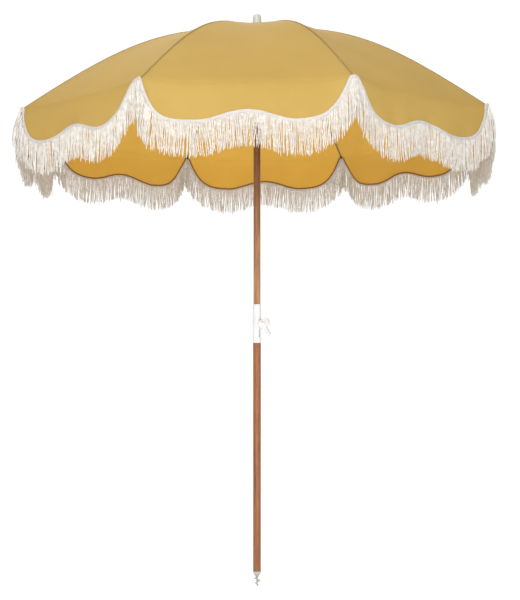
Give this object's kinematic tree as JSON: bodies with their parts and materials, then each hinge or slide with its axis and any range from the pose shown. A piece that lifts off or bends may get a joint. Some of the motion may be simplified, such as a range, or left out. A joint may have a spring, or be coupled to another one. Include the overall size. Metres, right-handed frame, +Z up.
{
  "type": "beach umbrella",
  "caption": "Folding beach umbrella with a scalloped, fringed cloth canopy on steel ribs, a two-part wooden pole with a clamp knob, and a sand auger tip.",
  "frame": {"origin": "the auger's tip, on the pole's axis", "axes": "+Z up along the pole, -Y towards the front panel, +X to the right of it"},
  "size_m": [1.8044, 1.8044, 2.318],
  "materials": {
    "pole_wood": "varnished, satin",
    "white_plastic": "satin moulded",
    "zinc_steel": "zinc plated",
    "dark_cap": "matt",
    "canopy_cloth": "woven canvas, matt",
    "fringe_cotton": "twisted cotton, matt"
  },
  "bodies": {
    "lower_mast": {"lower_pole": "pole_wood", "sand_auger": "white_plastic", "collar_clamp": "white_plastic", "collar_sleeve": "white_plastic"},
    "knob": {"clamp_knob": "white_plastic", "clamp_screw": "zinc_steel"},
    "upper_mast": {"upper_pole": "pole_wood", "crown_hub": "white_plastic", "finial": "white_plastic"},
    "catch": {"runner_catch": "zinc_steel"},
    "runner": {"runner": "white_plastic"},
    "rib_1": {"rib_1": "zinc_steel", "rib_cap_1": "dark_cap", "canopy_1": "canopy_cloth"},
    "stretcher_1": {"stretcher_1": "zinc_steel"},
    "skirt_1": {"valance_1": "canopy_cloth", "fringe_1": "fringe_cotton"},
    "rib_2": {"rib_2": "zinc_steel", "rib_cap_2": "dark_cap", "canopy_2": "canopy_cloth"},
    "stretcher_2": {"stretcher_2": "zinc_steel"},
    "skirt_2": {"valance_2": "canopy_cloth", "fringe_2": "fringe_cotton"},
    "rib_3": {"rib_3": "zinc_steel", "rib_cap_3": "dark_cap", "canopy_3": "canopy_cloth"},
    "stretcher_3": {"stretcher_3": "zinc_steel"},
    "skirt_3": {"valance_3": "canopy_cloth", "fringe_3": "fringe_cotton"},
    "rib_4": {"rib_4": "zinc_steel", "rib_cap_4": "dark_cap", "canopy_4": "canopy_cloth"},
    "stretcher_4": {"stretcher_4": "zinc_steel"},
    "skirt_4": {"valance_4": "canopy_cloth", "fringe_4": "fringe_cotton"},
    "rib_5": {"rib_5": "zinc_steel", "rib_cap_5": "dark_cap", "canopy_5": "canopy_cloth"},
    "stretcher_5": {"stretcher_5": "zinc_steel"},
    "skirt_5": {"valance_5": "canopy_cloth", "fringe_5": "fringe_cotton"},
    "rib_6": {"rib_6": "zinc_steel", "rib_cap_6": "dark_cap", "canopy_6": "canopy_cloth"},
    "stretcher_6": {"stretcher_6": "zinc_steel"},
    "skirt_6": {"valance_6": "canopy_cloth", "fringe_6": "fringe_cotton"},
    "rib_7": {"rib_7": "zinc_steel", "rib_cap_7": "dark_cap", "canopy_7": "canopy_cloth"},
    "stretcher_7": {"stretcher_7": "zinc_steel"},
    "skirt_7": {"valance_7": "canopy_cloth", "fringe_7": "fringe_cotton"},
    "rib_8": {"rib_8": "zinc_steel", "rib_cap_8": "dark_cap", "canopy_8": "canopy_cloth"},
    "stretcher_8": {"stretcher_8": "zinc_steel"},
    "skirt_8": {"valance_8": "canopy_cloth", "fringe_8": "fringe_cotton"}
  },
  "joints": [
    {"name": "clamp_knob_turn", "type": "hinge", "parent": "lower_mast", "child": "knob", "pos_m": [0, 0, 1.062], "axis": [0.8192, -0.5736, 0], "range_deg": [0, 270]},
    {"name": "height_slide", "type": "slide", "parent": "lower_mast", "child": "upper_mast", "axis": [0, 0, 1], "range_m": [-0.1, 0.2]},
    {"name": "catch_press", "type": "slide", "parent": "upper_mast", "child": "catch", "axis": [0, -1, 0], "range_m": [0, 0.0035], "stiffness_N_per_m": 1500, "springref_m": -0.001},
    {"name": "canopy_fold", "type": "hinge", "parent": "upper_mast", "child": "rib_1", "pos_m": [0.01148, -0.02772, 2.24607], "axis": [0.9239, 0.3827, 0], "range_deg": [0, 65.81], "deforming": ["canopy_1"]},
    {"name": "stretcher_fold_1", "type": "hinge", "parent": "rib_1", "child": "stretcher_1", "pos_m": [0.1636, -0.39496, 2.16512], "axis": [0.9239, 0.3827, 0], "range_deg": [-116.3, 0]},
    {"name": "skirt_swing_1", "type": "hinge", "parent": "rib_1", "child": "skirt_1", "pos_m": [0.36355, -0.87769, 1.8694], "axis": [0.9239, 0.3827, 0], "range_deg": [-65.9, 0], "deforming": ["valance_1", "fringe_1"]},
    {"name": "rib_fold_2", "type": "hinge", "parent": "upper_mast", "child": "rib_2", "pos_m": [0.02772, -0.01148, 2.24607], "axis": [0.3827, 0.9239, 0], "range_deg": [0, 65.82], "deforming": ["canopy_2"]},
    {"name": "stretcher_fold_2", "type": "hinge", "parent": "rib_2", "child": "stretcher_2", "pos_m": [0.39496, -0.1636, 2.16512], "axis": [0.3827, 0.9239, 0], "range_deg": [-116.3, 0]},
    {"name": "skirt_swing_2", "type": "hinge", "parent": "rib_2", "child": "skirt_2", "pos_m": [0.87769, -0.36355, 1.8694], "axis": [0.3827, 0.9239, 0], "range_deg": [-65.9, 0], "deforming": ["valance_2", "fringe_2"]},
    {"name": "rib_fold_3", "type": "hinge", "parent": "upper_mast", "child": "rib_3", "pos_m": [0.02772, 0.01148, 2.24607], "axis": [-0.3827, 0.9239, 0], "range_deg": [0, 65.82], "deforming": ["canopy_3"]},
    {"name": "stretcher_fold_3", "type": "hinge", "parent": "rib_3", "child": "stretcher_3", "pos_m": [0.39496, 0.1636, 2.16512], "axis": [-0.3827, 0.9239, 0], "range_deg": [-116.3, 0]},
    {"name": "skirt_swing_3", "type": "hinge", "parent": "rib_3", "child": "skirt_3", "pos_m": [0.87769, 0.36355, 1.8694], "axis": [-0.3827, 0.9239, 0], "range_deg": [-65.9, 0], "deforming": ["valance_3", "fringe_3"]},
    {"name": "rib_fold_4", "type": "hinge", "parent": "upper_mast", "child": "rib_4", "pos_m": [0.01148, 0.02772, 2.24607], "axis": [-0.9239, 0.3827, 0], "range_deg": [0, 65.82], "deforming": ["canopy_4"]},
    {"name": "stretcher_fold_4", "type": "hinge", "parent": "rib_4", "child": "stretcher_4", "pos_m": [0.1636, 0.39496, 2.16512], "axis": [-0.9239, 0.3827, 0], "range_deg": [-116.3, 0]},
    {"name": "skirt_swing_4", "type": "hinge", "parent": "rib_4", "child": "skirt_4", "pos_m": [0.36355, 0.87769, 1.8694], "axis": [-0.9239, 0.3827, 0], "range_deg": [-65.9, 0], "deforming": ["valance_4", "fringe_4"]},
    {"name": "rib_fold_5", "type": "hinge", "parent": "upper_mast", "child": "rib_5", "pos_m": [-0.01148, 0.02772, 2.24607], "axis": [-0.9239, -0.3827, 0], "range_deg": [0, 65.82], "deforming": ["canopy_5"]},
    {"name": "stretcher_fold_5", "type": "hinge", "parent": "rib_5", "child": "stretcher_5", "pos_m": [-0.1636, 0.39496, 2.16512], "axis": [-0.9239, -0.3827, 0], "range_deg": [-116.3, 0]},
    {"name": "skirt_swing_5", "type": "hinge", "parent": "rib_5", "child": "skirt_5", "pos_m": [-0.36355, 0.87769, 1.8694], "axis": [-0.9239, -0.3827, 0], "range_deg": [-65.9, 0], "deforming": ["valance_5", "fringe_5"]},
    {"name": "rib_fold_6", "type": "hinge", "parent": "upper_mast", "child": "rib_6", "pos_m": [-0.02772, 0.01148, 2.24607], "axis": [-0.3827, -0.9239, 0], "range_deg": [0, 65.82], "deforming": ["canopy_6"]},
    {"name": "stretcher_fold_6", "type": "hinge", "parent": "rib_6", "child": "stretcher_6", "pos_m": [-0.39496, 0.1636, 2.16512], "axis": [-0.3827, -0.9239, 0], "range_deg": [-116.3, 0]},
    {"name": "skirt_swing_6", "type": "hinge", "parent": "rib_6", "child": "skirt_6", "pos_m": [-0.87769, 0.36355, 1.8694], "axis": [-0.3827, -0.9239, 0], "range_deg": [-65.9, 0], "deforming": ["valance_6", "fringe_6"]},
    {"name": "rib_fold_7", "type": "hinge", "parent": "upper_mast", "child": "rib_7", "pos_m": [-0.02772, -0.01148, 2.24607], "axis": [0.3827, -0.9239, 0], "range_deg": [0, 65.82], "deforming": ["canopy_7"]},
    {"name": "stretcher_fold_7", "type": "hinge", "parent": "rib_7", "child": "stretcher_7", "pos_m": [-0.39496, -0.1636, 2.16512], "axis": [0.3827, -0.9239, 0], "range_deg": [-116.3, 0]},
    {"name": "skirt_swing_7", "type": "hinge", "parent": "rib_7", "child": "skirt_7", "pos_m": [-0.87769, -0.36355, 1.8694], "axis": [0.3827, -0.9239, 0], "range_deg": [-65.9, 0], "deforming": ["valance_7", "fringe_7"]},
    {"name": "rib_fold_8", "type": "hinge", "parent": "upper_mast", "child": "rib_8", "pos_m": [-0.01148, -0.02772, 2.24607], "axis": [0.9239, -0.3827, 0], "range_deg": [0, 65.82], "deforming": ["canopy_8"]},
    {"name": "stretcher_fold_8", "type": "hinge", "parent": "rib_8", "child": "stretcher_8", "pos_m": [-0.1636, -0.39496, 2.16512], "axis": [0.9239, -0.3827, 0], "range_deg": [-116.3, 0]},
    {"name": "skirt_swing_8", "type": "hinge", "parent": "rib_8", "child": "skirt_8", "pos_m": [-0.36355, -0.87769, 1.8694], "axis": [0.9239, -0.3827, 0], "range_deg": [-65.9, 0], "deforming": ["valance_8", "fringe_8"]},
    {"name": "runner_slide", "type": "slide", "parent": "upper_mast", "child": "runner", "axis": [0, 0, 1], "range_m": [-0.5413, 0]}
  ],
  "couplings": [
    {"joint": "stretcher_fold_1", "follows": "canopy_fold", "ratio": -1.7667},
    {"joint": "skirt_swing_1", "follows": "canopy_fold", "ratio": -1},
    {"joint": "rib_fold_2", "follows": "canopy_fold", "ratio": 1},
    {"joint": "stretcher_fold_2", "follows": "canopy_fold", "ratio": -1.7667},
    {"joint": "skirt_swing_2", "follows": "canopy_fold", "ratio": -1},
    {"joint": "rib_fold_3", "follows": "canopy_fold", "ratio": 1},
    {"joint": "stretcher_fold_3", "follows": "canopy_fold", "ratio": -1.7667},
    {"joint": "skirt_swing_3", "follows": "canopy_fold", "ratio": -1},
    {"joint": "rib_fold_4", "follows": "canopy_fold", "ratio": 1},
    {"joint": "stretcher_fold_4", "follows": "canopy_fold", "ratio": -1.7667},
    {"joint": "skirt_swing_4", "follows": "canopy_fold", "ratio": -1},
    {"joint": "rib_fold_5", "follows": "canopy_fold", "ratio": 1},
    {"joint": "stretcher_fold_5", "follows": "canopy_fold", "ratio": -1.7667},
    {"joint": "skirt_swing_5", "follows": "canopy_fold", "ratio": -1},
    {"joint": "rib_fold_6", "follows": "canopy_fold", "ratio": 1},
    {"joint": "stretcher_fold_6", "follows": "canopy_fold", "ratio": -1.7667},
    {"joint": "skirt_swing_6", "follows": "canopy_fold", "ratio": -1},
    {"joint": "rib_fold_7", "follows": "canopy_fold", "ratio": 1},
    {"joint": "stretcher_fold_7", "follows": "canopy_fold", "ratio": -1.7667},
    {"joint": "skirt_swing_7", "follows": "canopy_fold", "ratio": -1},
    {"joint": "rib_fold_8", "follows": "canopy_fold", "ratio": 1},
    {"joint": "stretcher_fold_8", "follows": "canopy_fold", "ratio": -1.7667},
    {"joint": "skirt_swing_8", "follows": "canopy_fold", "ratio": -1},
    {"joint": "runner_slide", "follows": "canopy_fold", "m_per_rad": -0.47119}
  ]
}
